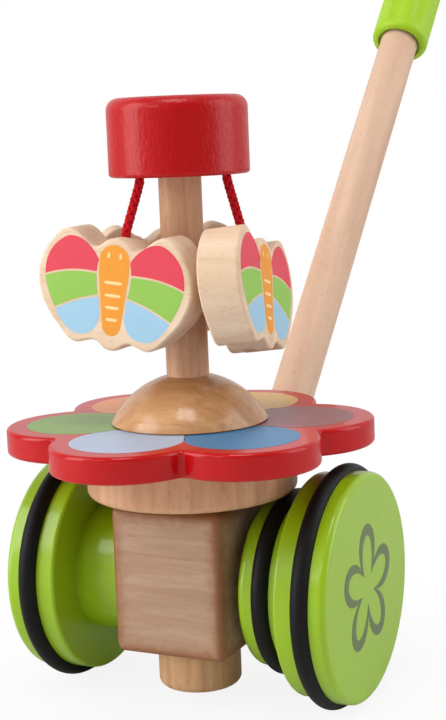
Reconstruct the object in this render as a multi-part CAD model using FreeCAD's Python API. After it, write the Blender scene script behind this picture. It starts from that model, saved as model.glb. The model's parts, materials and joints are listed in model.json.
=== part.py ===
import FreeCAD, Part
import math
import os

# Wooden push-along carousel: a two-wheeled axle block pushed by a long leaning
# handle.  A rubber-ringed friction wheel on the axle rubs the underside of a
# turntable, so a flower-shaped disc, a post and a cap with three hanging
# butterflies turn as the toy rolls.
#
# Millimetres.  +Z up, the floor is z = 0, the upright spindle is x = y = 0,
# the axle runs along X and the handle leans towards +Y.

# ---- driving dimensions -------------------------------------------------

# fits
running_clearance = 0.05     # radial, shaft turning in a bore
glued_clearance = 0.02       # radial, dowel glued in a bore
face_gap = 0.3               # between faces of pieces that turn past each other
bore_end_spare = 0.5         # left empty past a dowel's end in a blind bore
cutter_overrun = 1.0         # how far a drill or cutter runs past the face it enters
dowel_end_round = 0.6
stick_end_round = 1.5
rim_ease = 0.8               # rims that sit against another piece

# road wheels and their tyres
tyre_radius = 50.0
tyre_cord_diameter = 7.7
wheel_inner_face = 49.3      # from the middle of the toy
wheel_thickness = 22.4
tyre_position = 12.0         # middle of the tyre from the wheel's inner face
outer_flange_depth = 2.9     # how far the tyre stands proud of the outer flange
inner_flange_depth = 4.2
outer_flange_round = 2.6
inner_flange_round = 1.5
wheel_bore_depth = 16.0

# axle
axle_diameter = 8.0
axle_setback = 11.8          # axle behind the spindle
axle_end_play = 0.5

# wheel spacers on the axle
hub_radius = 27.9
hub_round = 2.0
hub_end_gap = 1.0            # between the axle block and whatever turns beside it
friction_wheel_radius = 35.4
friction_wheel_width = 20.1
friction_wheel_round = 3.0
friction_boss_radius = 14.0
friction_boss_round = 1.0
friction_ring_cord = 7.7
friction_ring_radius = 38.3
friction_ring_position = 39.5

# axle block
block_half_width = 24.7
block_length = 78.4
block_below_axle = 25.2      # from the middle of the axle to the underside
block_round = 3.6

# upright spindle, knob and washer
spindle_diameter = 10.0
spindle_grip_in_knob = 13.0
spindle_grip_in_post = 20.0
knob_radius = 17.3
knob_height = 18.3
knob_round = 3.0
washer_radius = 13.0
washer_thickness = 2.3
washer_round = 0.5

# turntable, flower and dome
turntable_radius = 43.4
turntable_thickness = 18.5
turntable_round = 3.0
flower_thickness = 10.8
flower_petals = 6
petal_radius = 30.1
petal_centre_radius = 45.5
first_petal_angle = -36.1
petal_notch_round = 2.5
flower_edge_round = 1.6
dome_base_radius = 32.2
dome_height = 20.0
dome_foot_height = 0.6
dome_foot_inset = 1.0

# post and cap
post_radius = 8.7
post_seat_depth = 9.0        # how far the post enters the turntable
cap_radius = 28.4
cap_rise = 100.2             # underside of the cap above the flower
cap_height = 31.3
cap_top_round = 5.0
cap_bottom_round = 1.5
post_grip_in_cap = 16.0

# cords
cord_diameter = 3.2
cord_hole_clearance = 0.3
cord_hinge_drop = 1.9        # hinge point outside the hole's mouth
cord_anchor_radius = 20.1
cord_anchor_depth = 14.0
cord_anchor_angles = (-114.1, 5.9, 125.9)

# butterflies
butterfly_thickness = 17.2
butterfly_edge_round = 1.2
butterfly_hang_drops = (22.9, 26.7, 23.1)   # top of each head below the cap
knot_recess_radius = 3.6
knot_recess_depth = 6.0
knot_radius = 2.9
# right half of the outline, from the head round to the tail
butterfly_outline = (
    (0.0, 21.2), (4.3, 19.9), (8.0, 17.2), (19.3, 23.2), (29.8, 16.4), (34.0, 4.8),
    (31.6, -6.4), (23.4, -17.0), (15.8, -22.0), (6.6, -20.5), (3.4, -22.8), (0.0, -23.6),
)
# where each hangs: radius and angle of its head, the way it faces, its sideways lean
# and how far its tail swings out
butterfly_hang_radii = (26.0, 25.8, 27.0)
butterfly_hang_angles = (-121.0, 10.0, 132.0)
butterfly_facing_angles = (-88.0, 5.5, 125.9)
butterfly_lean_angles = (6.7, 13.5, 0.0)
butterfly_pitch_angles = (0.0, 6.5, 0.0)

# handle
handle_lean = 43.85          # from upright
handle_entry_above_axle = 2.7   # middle of the stick at the block's back face
handle_diameter = 20.0
handle_socket_depth = 22.0
handle_free_length = 310.9   # from the block to the grip
handle_grip_on_stick = 92.0
grip_radius = 15.1
grip_length = 110.0
grip_mouth_round = 3.0
grip_end_round = 11.0
grip_flutes = 8
grip_flute_radius = 9.0
grip_flute_depth = 1.3
grip_collar = 9.0            # plain band at each end of the flutes
grip_mouth_recess = 2.0
grip_mouth_radius = 11.6

# ---- sizes worked out from them -----------------------------------------

X, Y, Z = FreeCAD.Vector(1, 0, 0), FreeCAD.Vector(0, 1, 0), FreeCAD.Vector(0, 0, 1)
axle_radius = axle_diameter / 2
axle_height = tyre_radius
tyre_cord_radius = tyre_cord_diameter / 2
tyre_ring_radius = tyre_radius - tyre_cord_radius
wheel_outer_face = wheel_inner_face + wheel_thickness
friction_cord_radius = friction_ring_cord / 2
block_back = axle_setback + block_length / 2
handle_entry_height = axle_height + handle_entry_above_axle
spindle_radius = spindle_diameter / 2
turntable_bottom = axle_height + friction_ring_radius + face_gap
washer_top = turntable_bottom - face_gap
block_top = washer_top - washer_thickness
block_bottom = axle_height - block_below_axle
knob_top = block_bottom - face_gap
knob_bottom = knob_top - knob_height
turntable_top = turntable_bottom + turntable_thickness
flower_top = turntable_top + flower_thickness
post_bottom = turntable_top - post_seat_depth
cap_bottom = flower_top + cap_rise
post_top = cap_bottom + post_grip_in_cap
cap_top = cap_bottom + cap_height
cord_radius = cord_diameter / 2
cord_hole_radius = cord_radius + cord_hole_clearance
handle_radius = handle_diameter / 2
butterfly_head = butterfly_outline[0][1]
butterfly_tail = butterfly_outline[-1][1]


# ---- helpers -------------------------------------------------------------

def vector(x, y, z):
    return FreeCAD.Vector(x, y, z)


def rod(radius, bottom, top):
    """Plain cylinder about Z."""
    return Part.makeCylinder(radius, top - bottom, vector(0, 0, bottom))


def rim(shape, radius, height):
    """The circular edges of a turned shape at one radius and height."""
    found = []
    for edge in shape.Edges:
        curve = edge.Curve
        if not isinstance(curve, Part.Circle):
            continue
        if abs(curve.Radius - radius) < 1e-3 and abs(curve.Center.z - height) < 1e-3:
            found.append(edge)
    return found


def turned_disc(radius, bottom, top, bottom_round=0.0, top_round=0.0):
    """Cylinder about Z with rounded rims."""
    shape = rod(radius, bottom, top)
    for height, round_radius in ((bottom, bottom_round), (top, top_round)):
        if round_radius:
            shape = shape.makeFillet(round_radius, rim(shape, radius, height))
    return shape


def ring(ring_radius, cord, height):
    """Torus about Z."""
    return Part.makeTorus(ring_radius, cord, vector(0, 0, height), Z)


def on_axle(shape, side=1):
    """Turn a shape made about Z so that its Z runs outward along the axle."""
    placed = shape.copy()
    placed.Placement = FreeCAD.Placement(
        vector(0, axle_setback, axle_height), FreeCAD.Rotation(Y, 90 * side))
    return placed


def on_handle(shape):
    """Put a shape made about Z on the handle's line, z = 0 where it leaves the block."""
    placed = shape.copy()
    placed.Placement = FreeCAD.Placement(
        vector(0, block_back, handle_entry_height), FreeCAD.Rotation(X, -handle_lean))
    return placed


def polar(radius, angle, height=0.0):
    turn = math.radians(angle)
    return vector(radius * math.cos(turn), radius * math.sin(turn), height)


# ---- axle, wheels and friction wheel --------------------------------------

def axle():
    half = wheel_inner_face + wheel_bore_depth - axle_end_play
    return on_axle(turned_disc(axle_radius, -half, half, dowel_end_round, dowel_end_round))


def wheel(side):
    """Wooden wheel with a round tyre groove, closed outside, axle bored from inside."""
    middle = wheel_inner_face + tyre_position
    inner = turned_disc(tyre_radius - inner_flange_depth, wheel_inner_face, middle, inner_flange_round)
    outer = turned_disc(tyre_radius - outer_flange_depth, middle, wheel_outer_face, 0.0, outer_flange_round)
    body = inner.fuse(outer)
    body = body.cut(ring(tyre_ring_radius, tyre_cord_radius + glued_clearance, middle))
    bore_end = wheel_inner_face + wheel_bore_depth
    body = body.cut(rod(axle_radius + glued_clearance, wheel_inner_face - cutter_overrun, bore_end))
    return on_axle(body.removeSplitter(), side)


def tyre(side):
    return on_axle(ring(tyre_ring_radius, tyre_cord_radius, wheel_inner_face + tyre_position), side)


def left_hub():
    """Spacer between the axle block and the left wheel."""
    start = block_half_width + hub_end_gap
    body = turned_disc(hub_radius, start, wheel_inner_face, hub_round)
    body = body.cut(rod(axle_radius + glued_clearance, start - cutter_overrun,
                        wheel_inner_face + cutter_overrun))
    return on_axle(body, -1)


def friction_wheel():
    """Wheel that carries the drive ring, with a boss that runs beside the block."""
    start = wheel_inner_face - friction_wheel_width
    boss_end = block_half_width + hub_end_gap
    body = turned_disc(friction_wheel_radius, start, wheel_inner_face, friction_wheel_round, friction_boss_round)
    body = body.fuse(turned_disc(friction_boss_radius, boss_end, start + cutter_overrun, friction_boss_round))
    groove_centre = friction_ring_radius - friction_cord_radius
    body = body.cut(ring(groove_centre, friction_cord_radius + glued_clearance, friction_ring_position))
    body = body.cut(rod(axle_radius + glued_clearance, boss_end - cutter_overrun,
                        wheel_inner_face + cutter_overrun))
    return on_axle(body)


def friction_ring():
    centre = friction_ring_radius - friction_cord_radius
    return on_axle(ring(centre, friction_cord_radius, friction_ring_position))


# ---- axle block ------------------------------------------------------------

def axle_block():
    """Beech block with the axle bore, the spindle bore and the handle socket."""
    corner = vector(-block_half_width, block_back - block_length, block_bottom)
    body = Part.makeBox(2 * block_half_width, block_length, block_top - block_bottom, corner)
    body = body.makeFillet(block_round, body.Edges)
    reach = block_half_width + cutter_overrun
    body = body.cut(on_axle(rod(axle_radius + running_clearance, -reach, reach)))
    body = body.cut(rod(spindle_radius + running_clearance, block_bottom - cutter_overrun,
                        block_top + cutter_overrun))
    socket = rod(handle_radius + glued_clearance, -handle_socket_depth, handle_diameter)
    return body.cut(on_handle(socket))


def thrust_washer():
    body = turned_disc(washer_radius, block_top, washer_top, 0.0, washer_round)
    return body.cut(rod(spindle_radius + running_clearance, block_top - cutter_overrun,
                        washer_top + cutter_overrun))


# ---- handle ----------------------------------------------------------------

def handle_stick():
    end = handle_free_length + handle_grip_on_stick
    return on_handle(turned_disc(handle_radius, -handle_socket_depth, end, stick_end_round, stick_end_round))


def handle_grip():
    """Moulded grip: recessed mouth, shallow flutes and a rounded end."""
    start = handle_free_length
    end = start + grip_length
    body = turned_disc(grip_radius, start, end, grip_mouth_round, grip_end_round)
    flute_start = start + grip_collar
    flute_end = end - grip_end_round - grip_collar
    for index in range(grip_flutes):
        centre = polar(grip_radius + grip_flute_radius - grip_flute_depth, 360 * index / grip_flutes)
        flute = rod(grip_flute_radius, flute_start, flute_end)
        flute = flute.fuse(Part.makeSphere(grip_flute_radius, vector(0, 0, flute_start)))
        flute = flute.fuse(Part.makeSphere(grip_flute_radius, vector(0, 0, flute_end)))
        flute.translate(centre)
        body = body.cut(flute)
    body = body.cut(rod(handle_radius + glued_clearance, start - cutter_overrun,
                        start + handle_grip_on_stick))
    body = body.cut(rod(grip_mouth_radius, start - cutter_overrun, start + grip_mouth_recess))
    return on_handle(body)


# ---- spindle, turntable, flower, dome, post and cap --------------------------

def spindle_pin():
    """Dowel that joins the knob, the turntable and the post into one spindle."""
    return turned_disc(spindle_radius, knob_top - spindle_grip_in_knob, post_bottom + spindle_grip_in_post,
                       dowel_end_round, dowel_end_round)


def bottom_knob():
    body = turned_disc(knob_radius, knob_bottom, knob_top, knob_round, rim_ease)
    bore = rod(spindle_radius + glued_clearance, knob_top - spindle_grip_in_knob - bore_end_spare,
               knob_top + cutter_overrun)
    return body.cut(bore)


def turntable_disc():
    body = turned_disc(turntable_radius, turntable_bottom, turntable_top, turntable_round, rim_ease)
    body = body.cut(rod(spindle_radius + glued_clearance, turntable_bottom - cutter_overrun,
                        turntable_top + cutter_overrun))
    return body.cut(rod(post_radius + glued_clearance, post_bottom, turntable_top + cutter_overrun))


def flower_disc():
    """Six round petals about a round middle, notches and rims eased."""
    middle = petal_centre_radius
    body = rod(middle, turntable_top, flower_top)
    for index in range(flower_petals):
        petal = rod(petal_radius, turntable_top, flower_top)
        petal.translate(polar(petal_centre_radius, first_petal_angle + 360 * index / flower_petals))
        body = body.fuse(petal)
    body = body.removeSplitter()
    notches = [edge for edge in body.Edges
               if isinstance(edge.Curve, Part.Line) and abs(edge.Length - flower_thickness) < 1e-3
               and math.hypot(edge.CenterOfMass.x, edge.CenterOfMass.y) > middle
               and edge_is_notch(edge)]
    body = body.makeFillet(petal_notch_round, notches)
    rims = [edge for edge in body.Edges
            if abs(edge.CenterOfMass.z - flower_top) < 1e-3
            or abs(edge.CenterOfMass.z - turntable_top) < 1e-3]
    body = body.makeFillet(flower_edge_round, rims)
    return body.cut(rod(post_radius + glued_clearance, turntable_top - cutter_overrun,
                        flower_top + cutter_overrun))


def edge_is_notch(edge):
    """True where two neighbouring petals cross."""
    half_step = math.pi / flower_petals
    across = petal_centre_radius * math.sin(half_step)
    notch = petal_centre_radius * math.cos(half_step) + math.sqrt(petal_radius ** 2 - across ** 2)
    return abs(math.hypot(edge.CenterOfMass.x, edge.CenterOfMass.y) - notch) < 0.1


def dome_collar():
    """Turned dome round the foot of the post, with a fine shadow step under its rim."""
    foot_top = flower_top + dome_foot_height
    rise = dome_height - dome_foot_height
    sphere_radius = (dome_base_radius ** 2 + rise ** 2) / (2 * rise)
    sphere_centre = foot_top + rise - sphere_radius
    dome = Part.makeSphere(sphere_radius, vector(0, 0, sphere_centre))
    dome = dome.common(rod(sphere_radius + cutter_overrun, foot_top, foot_top + rise + cutter_overrun))
    dome = dome.fuse(rod(dome_base_radius - dome_foot_inset, flower_top, foot_top + dome_foot_inset))
    return dome.cut(rod(post_radius + glued_clearance, flower_top - cutter_overrun,
                        foot_top + rise + cutter_overrun))


def centre_post():
    body = turned_disc(post_radius, post_bottom, post_top, rim_ease, rim_ease)
    bore_end = post_bottom + spindle_grip_in_post + bore_end_spare
    return body.cut(rod(spindle_radius + glued_clearance, post_bottom - cutter_overrun, bore_end))


def top_cap():
    body = turned_disc(cap_radius, cap_bottom, cap_top, cap_bottom_round, cap_top_round)
    body = body.cut(rod(post_radius + glued_clearance, cap_bottom - cutter_overrun,
                        post_top + bore_end_spare))
    for angle in cord_anchor_angles:
        hole = rod(cord_hole_radius, cap_bottom - cutter_overrun, cap_bottom + cord_anchor_depth)
        hole.translate(polar(cord_anchor_radius, angle))
        body = body.cut(hole)
    return body


# ---- cords and butterflies ---------------------------------------------------

def butterfly_face():
    """Front outline in the XZ plane: a smooth right half, level at head and tail, and its mirror image."""
    points = [vector(across, 0, up) for across, up in butterfly_outline]
    lengths = [0.0]
    for first, second in zip(points, points[1:]):
        lengths.append(lengths[-1] + (second - first).Length)
    curve = Part.BSplineCurve()
    curve.interpolate(Points=points, Parameters=lengths, InitialTangent=X, FinalTangent=-X, Scale=False)
    right = curve.toShape()
    left = right.mirror(vector(0, 0, 0), X)
    return Part.Face(Part.Wire([right, left]))


def butterfly_placement(index):
    """Hung by the head, turned to face its way and leant about its own facing."""
    facing = FreeCAD.Rotation(Z, butterfly_facing_angles[index] + 90)
    leant = FreeCAD.Rotation(Y, butterfly_lean_angles[index])
    turn = facing.multiply(leant).multiply(FreeCAD.Rotation(X, -butterfly_pitch_angles[index]))
    hang_height = cap_bottom - butterfly_hang_drops[index]
    head = polar(butterfly_hang_radii[index], butterfly_hang_angles[index], hang_height)
    return FreeCAD.Placement(head - turn.multVec(vector(0, 0, butterfly_head)), turn)


def cord_ends(index):
    """The two hinge points of a cord: under the cap, and over the butterfly's head."""
    top = polar(cord_anchor_radius, cord_anchor_angles[index], cap_bottom - cord_hinge_drop)
    head = vector(0, 0, butterfly_head + cord_hinge_drop)
    return top, butterfly_placement(index).multVec(head)


def butterfly(index):
    """Thick board butterfly with the cord's hole and the knot's recess."""
    half = butterfly_thickness / 2
    face = butterfly_face()
    face.translate(vector(0, -half, 0))
    body = face.extrude(vector(0, butterfly_thickness, 0))
    rims = [edge for edge in body.Edges if abs(abs(edge.CenterOfMass.y) - half) < 1e-3]
    body = body.makeFillet(butterfly_edge_round, rims)
    body = body.cut(rod(cord_hole_radius, butterfly_tail - cutter_overrun, butterfly_head + cutter_overrun))
    body = body.cut(rod(knot_recess_radius, butterfly_tail - cutter_overrun, butterfly_tail + knot_recess_depth))
    body.Placement = butterfly_placement(index)
    return body


def cord(index):
    """Straight hanging run with a round end at each hinge point."""
    top, bottom = cord_ends(index)
    run = bottom - top
    body = Part.makeCylinder(cord_radius, run.Length, top, run)
    for end in (top, bottom):
        body = body.fuse(Part.makeSphere(cord_radius, end))
    return body


def cord_anchor(index):
    """The cord's upper end, glued up inside the cap."""
    body = rod(cord_radius, cap_bottom, cap_bottom + cord_anchor_depth)
    body.translate(polar(cord_anchor_radius, cord_anchor_angles[index]))
    return body


def cord_tail(index):
    """The cord's lower end through the butterfly, with its knot in the recess."""
    knot_centre = butterfly_tail + knot_recess_depth - knot_radius
    body = rod(cord_radius, knot_centre, butterfly_head - cord_hole_clearance)
    body = body.fuse(Part.makeSphere(knot_radius, vector(0, 0, knot_centre)))
    body.Placement = butterfly_placement(index)
    return body


# ---- write every piece ---------------------------------------------------------

def pieces():
    made = {
        "axle_block": axle_block(),
        "thrust_washer": thrust_washer(),
        "handle_stick": handle_stick(),
        "handle_grip": handle_grip(),
        "axle": axle(),
        "left_hub": left_hub(),
        "friction_wheel": friction_wheel(),
        "friction_ring": friction_ring(),
        "spindle_pin": spindle_pin(),
        "bottom_knob": bottom_knob(),
        "turntable_disc": turntable_disc(),
        "flower_disc": flower_disc(),
        "dome_collar": dome_collar(),
        "centre_post": centre_post(),
        "top_cap": top_cap(),
    }
    for name, side in (("left", -1), ("right", 1)):
        made[name + "_wheel"] = wheel(side)
        made[name + "_tyre"] = tyre(side)
    for index in range(len(butterfly_hang_angles)):
        number = str(index + 1)
        made["butterfly_" + number] = butterfly(index)
        made["cord_" + number] = cord(index)
        made["cord_anchor_" + number] = cord_anchor(index)
        made["cord_tail_" + number] = cord_tail(index)
    return made


os.makedirs("parts", exist_ok=True)
for node, solid in pieces().items():
    solid.exportStep(os.path.join("parts", node + ".step"))
for cord_index in range(len(butterfly_hang_angles)):
    cord_top, cord_bottom = cord_ends(cord_index)
    print("cord", cord_index + 1, "straight run", round((cord_bottom - cord_top).Length, 2), "mm")
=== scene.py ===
# %% [markdown]
# # A push-along butterfly carousel
#
# A toddler's wooden toy: two green wheels with rubber rings carry a beech block, and a small
# friction wheel between them turns a red flower disc, a post and a cap with three hanging
# butterflies.  The construction comes in as a fixed frame.  These cells give each piece its
# finish and add what is printed, braided or painted on it.

# %% Load the fixed frame
import json
import math
from functools import partial

import bmesh
import bpy
from mathutils import Matrix, Vector


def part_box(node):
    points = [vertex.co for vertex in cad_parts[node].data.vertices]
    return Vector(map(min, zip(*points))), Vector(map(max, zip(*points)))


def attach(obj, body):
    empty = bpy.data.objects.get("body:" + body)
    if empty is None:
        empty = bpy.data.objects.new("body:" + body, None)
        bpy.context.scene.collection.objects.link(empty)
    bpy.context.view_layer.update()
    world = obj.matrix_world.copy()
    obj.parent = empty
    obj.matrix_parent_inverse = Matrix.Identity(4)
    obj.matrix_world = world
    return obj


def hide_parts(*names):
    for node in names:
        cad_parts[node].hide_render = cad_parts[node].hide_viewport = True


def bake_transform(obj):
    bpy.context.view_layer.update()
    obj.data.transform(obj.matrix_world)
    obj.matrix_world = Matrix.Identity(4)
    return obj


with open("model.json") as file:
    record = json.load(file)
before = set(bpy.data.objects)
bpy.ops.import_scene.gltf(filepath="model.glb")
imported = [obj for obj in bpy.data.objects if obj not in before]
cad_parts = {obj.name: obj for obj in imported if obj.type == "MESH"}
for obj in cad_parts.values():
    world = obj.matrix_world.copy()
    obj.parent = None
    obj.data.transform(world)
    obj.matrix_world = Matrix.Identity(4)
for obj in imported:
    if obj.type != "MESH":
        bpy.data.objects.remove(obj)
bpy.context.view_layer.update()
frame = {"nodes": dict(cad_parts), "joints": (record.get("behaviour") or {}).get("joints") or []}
nodes = frame["nodes"]
joints = {joint["name"]: joint for joint in frame["joints"]}
millimetre = 0.001

# %% [markdown]
# ## The camera
#
# The view is a product shot from a little to the right of the front and just above the wheels,
# with a long lens so that the wheels stay nearly round.  The camera is placed by an azimuth, an
# elevation and a distance from an aim point on the object, because those are easy to read and
# to change, and it is tipped by a small roll.

# %% Place the camera
aim_point = Vector((16.2, 0.0, 143.4)) * millimetre
camera_azimuth = math.radians(26.19)
camera_elevation = math.radians(8.69)
camera_roll = math.radians(-2.24)
camera_distance = 0.6283
lens_length = 77.71
sensor_side = 36.0


def camera_axes():
    """Right, up and back directions of the camera."""
    flat = math.cos(camera_elevation)
    back = Vector((math.sin(camera_azimuth) * flat, -math.cos(camera_azimuth) * flat,
                   math.sin(camera_elevation)))
    level = Vector((math.cos(camera_azimuth), math.sin(camera_azimuth), 0))
    upright = back.cross(level)
    turn, tip = math.cos(camera_roll), math.sin(camera_roll)
    return level * turn + upright * tip, upright * turn - level * tip, back


def placed(name, data):
    """New object, linked to the scene at the origin."""
    made = bpy.data.objects.new(name, data)
    bpy.context.scene.collection.objects.link(made)
    return made


right_axis, up_axis, back_axis = camera_axes()
camera_data = bpy.data.cameras.new("camera")
camera_data.lens = lens_length
camera_data.sensor_width = sensor_side
camera = placed("camera", camera_data)
turned = Matrix((right_axis, up_axis, back_axis)).transposed()
camera.matrix_world = Matrix.Translation(aim_point + back_axis * camera_distance) @ turned.to_4x4()
bpy.context.scene.camera = camera
print("camera at", [round(value, 4) for value in camera.location])

# %% [markdown]
# ## Small helpers
#
# Colours are written as a paint chart would give them, in 0-255 display values, and turned to
# the linear values that shaders use.  A few short functions add nodes and link them, so that
# each finish below reads as a recipe.  The same ones serve shader trees and Geometry Nodes.

# %% Colour and node helpers


def chart(red, green, blue):
    """Linear colour of a display value."""
    def linear(value):
        value = value / 255
        return value / 12.92 if value <= 0.04045 else ((value + 0.055) / 1.055) ** 2.4
    return (linear(red), linear(green), linear(blue), 1.0)


def add(tree, kind, **settings):
    """New node with its properties and unlinked inputs set."""
    node = tree.nodes.new(kind)
    for name, value in settings.items():
        if name in node.bl_rna.properties:
            setattr(node, name, value)
        else:
            node.inputs[name.replace("_", " ")].default_value = value
    return node


def join(tree, source, target):
    tree.links.new(source, target)


def feed(tree, slot, value):
    """Link a socket to the slot, or set the slot to a plain value."""
    if hasattr(value, "node"):
        join(tree, value, slot)
    else:
        slot.default_value = value


def named_tree(name, kind, inputs, outputs):
    """Empty node tree with named sockets, and its input and output nodes."""
    tree = bpy.data.node_groups.new(name, kind)
    for label, value_kind, value in inputs:
        socket = tree.interface.new_socket(name=label, in_out="INPUT", socket_type="NodeSocket" + value_kind)
        if value is not None:
            socket.default_value = value
    for label, value_kind in outputs:
        tree.interface.new_socket(name=label, in_out="OUTPUT", socket_type="NodeSocket" + value_kind)
    return tree, tree.nodes.new("NodeGroupInput"), tree.nodes.new("NodeGroupOutput")


def math_node(tree, operation, first, second=0):
    """Math node whose operands are sockets or numbers."""
    node = add(tree, "ShaderNodeMath", operation=operation)
    for slot, value in zip(node.inputs, (first, second)):
        feed(tree, slot, value)
    return node.outputs[0]


def vector_node(tree, operation, first, second=None):
    """Vector Math node whose operands are sockets or values."""
    node = add(tree, "ShaderNodeVectorMath", operation=operation)
    feed(tree, node.inputs[0], first)
    if second is not None:
        feed(tree, node.inputs["Scale" if operation == "SCALE" else 1], second)
    return node.outputs["Value" if operation == "LENGTH" else "Vector"]


def ranged(tree, value, from_low=0.0, from_high=1.0, to_low=0.0, to_high=1.0, soft=False):
    """Map Range node, which eases in and out if it is soft."""
    node = add(tree, "ShaderNodeMapRange", interpolation_type="SMOOTHSTEP" if soft else "LINEAR")
    join(tree, value, node.inputs["Value"])
    limits = {"From Min": from_low, "From Max": from_high, "To Min": to_low, "To Max": to_high}
    for label, limit in limits.items():
        node.inputs[label].default_value = limit
    return node.outputs[0]


def mix_color(tree, factor, first, second, blend="MIX"):
    """Colour mix whose operands are sockets or values."""
    node = add(tree, "ShaderNodeMix", data_type="RGBA", blend_type=blend)
    factor_slot, first_slot, second_slot = (node.inputs[index] for index in (0, 6, 7))
    for slot, value in ((factor_slot, factor), (first_slot, first), (second_slot, second)):
        feed(tree, slot, value)
    return node.outputs[2]


def stretched_noise(tree, vector, scale, detail, distortion=0.0):
    """Noise on a vector that is first scaled, by plain values or by a socket."""
    noise = add(tree, "ShaderNodeTexNoise", Scale=1.0, Detail=detail, Distortion=distortion)
    join(tree, vector_node(tree, "MULTIPLY", vector, scale), noise.inputs["Vector"])
    return noise.outputs["Fac"]


print("helpers ready, mid grey", [round(value, 3) for value in chart(128, 128, 128)])

# %% [markdown]
# ## Wood grain as one shader group
#
# Beech and maple are told apart by colour and lacquer, not by structure, so one group makes
# the grain for every bare piece.  It stretches noise along Z: broad bands for the growth
# rings, fine streaks for the fibres and short dark dashes for the flecks that beech is known
# for.  A Mapping node in each material turns the grain the way the piece was cut.

# %% Build the wood grain group
# Features per metre, across the grain twice and along it.
fibre_scale, fleck_scale, patch_scale = (2400, 2400, 110), (1300, 1300, 300), (60, 60, 25)
band_stretch = 0.07
fleck_tint, dim_tint, bright_tint = (0.62, 0.52, 0.44, 1), (0.94, 0.93, 0.92, 1), (1.04, 1.03, 1.02, 1)


def make_wood_group():
    group, given, result = named_tree(
        "wood_grain", "ShaderNodeTree",
        [("Vector", "Vector", None), ("Pale", "Color", chart(224, 194, 160)),
         ("Deep", "Color", chart(190, 150, 112)), ("Band Width", "Float", 0.006),
         ("Fleck", "Float", 0.3), ("Fibre", "Float", 0.25), ("Gloss", "Float", 0.45)],
        [("Color", "Color"), ("Roughness", "Float"), ("Height", "Float")])
    calc, mix = partial(math_node, group), partial(mix_color, group)
    place, pale, deep = (given.outputs[label] for label in ("Vector", "Pale", "Deep"))

    across = calc("DIVIDE", 1.0, given.outputs["Band Width"])
    band_scale = add(group, "ShaderNodeCombineXYZ")
    for slot, scale in zip(band_scale.inputs, (across, across, calc("MULTIPLY", across, band_stretch))):
        join(group, scale, slot)
    bands = stretched_noise(group, place, band_scale.outputs[0], 3.0, 0.6)
    fibres = stretched_noise(group, place, fibre_scale, 3.0)
    flecks = stretched_noise(group, place, fleck_scale, 1.0)
    patches = stretched_noise(group, place, patch_scale, 2.0)

    color = mix(ranged(group, bands, 0.34, 0.68), pale, deep)
    color = mix(calc("MULTIPLY", ranged(group, fibres, 0.3, 0.75), given.outputs["Fibre"]), color, deep)
    dash = calc("MULTIPLY", ranged(group, flecks, 0.60, 0.70), given.outputs["Fleck"])
    color = mix(dash, color, mix(1.0, color, fleck_tint, "MULTIPLY"))
    color = mix(1.0, color, mix(ranged(group, patches, 0.2, 0.8), dim_tint, bright_tint), "MULTIPLY")
    rough = calc("ADD", calc("MULTIPLY", ranged(group, fibres, 0.3, 0.7), 0.16), given.outputs["Gloss"])
    relief = calc("SUBTRACT", calc("MULTIPLY", fibres, 0.6), calc("MULTIPLY", dash, 0.5))
    for label, value in (("Color", color), ("Roughness", rough), ("Height", relief)):
        join(group, value, result.inputs[label])
    return group


wood_group = make_wood_group()
print("wood group", len(wood_group.nodes), "nodes")

# %% [markdown]
# ## Paint over wood as one shader group
#
# Toy paint is a thin coat sprayed over turned wood.  It is smooth but never perfect: the
# grain lifts it in fine lines, the spray leaves a faint peel and the tone drifts a little.
# The group returns the drifted colour, a roughness and a height, and each painted material
# adds its own colour and lacquer.

# %% Build the paint group
drift_scale, grain_scale, peel_scale = (90, 90, 40), (1000, 1000, 260), (620, 620, 620)


def make_paint_group():
    group, given, result = named_tree(
        "paint_film", "ShaderNodeTree",
        [("Vector", "Vector", None), ("Color", "Color", chart(200, 30, 35)),
         ("Shade", "Color", chart(170, 20, 25)), ("Drift", "Float", 0.3), ("Gloss", "Float", 0.3)],
        [("Color", "Color"), ("Roughness", "Float"), ("Height", "Float")])
    calc, place = partial(math_node, group), given.outputs["Vector"]
    drift = stretched_noise(group, place, drift_scale, 2.0)
    grain = stretched_noise(group, place, grain_scale, 2.0)
    peel = stretched_noise(group, place, peel_scale, 1.0)
    amount = calc("MULTIPLY", calc("ADD", drift, grain), given.outputs["Drift"])
    color = mix_color(group, amount, given.outputs["Color"], given.outputs["Shade"])
    rough = calc("ADD", calc("MULTIPLY", grain, 0.14), given.outputs["Gloss"])
    relief = calc("ADD", calc("MULTIPLY", grain, 0.55), calc("MULTIPLY", peel, 0.45))
    for label, value in (("Color", color), ("Roughness", rough), ("Height", relief)):
        join(group, value, result.inputs[label])
    return group


paint_group = make_paint_group()
print("paint group", len(paint_group.nodes), "nodes")

# %% [markdown]
# ## Materials
#
# Each material starts from object coordinates, turns them so that the grain follows the
# piece, passes them through one of the groups and ends in a Principled shader of its own.
# Constant values such as the coat are set on the shader's own sockets.

# %% Material makers
texture_depth = 0.2 * millimetre


def new_material(name, coat=0.0, coat_roughness=0.15, specular=0.5):
    """Material, its tree and its Principled shader."""
    material = bpy.data.materials.new(name)
    material.use_nodes = True
    shader = material.node_tree.nodes["Principled BSDF"]
    shader.inputs["Coat Weight"].default_value = coat
    shader.inputs["Coat Roughness"].default_value = coat_roughness
    shader.inputs["Specular IOR Level"].default_value = specular
    return material, material.node_tree, shader


def raise_relief(tree, shader, height, strength, depth):
    """Bump the shader's surface by a height."""
    relief = add(tree, "ShaderNodeBump", Strength=strength, Distance=depth)
    join(tree, height, relief.inputs["Height"])
    join(tree, relief.outputs[0], shader.inputs["Normal"])


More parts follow.
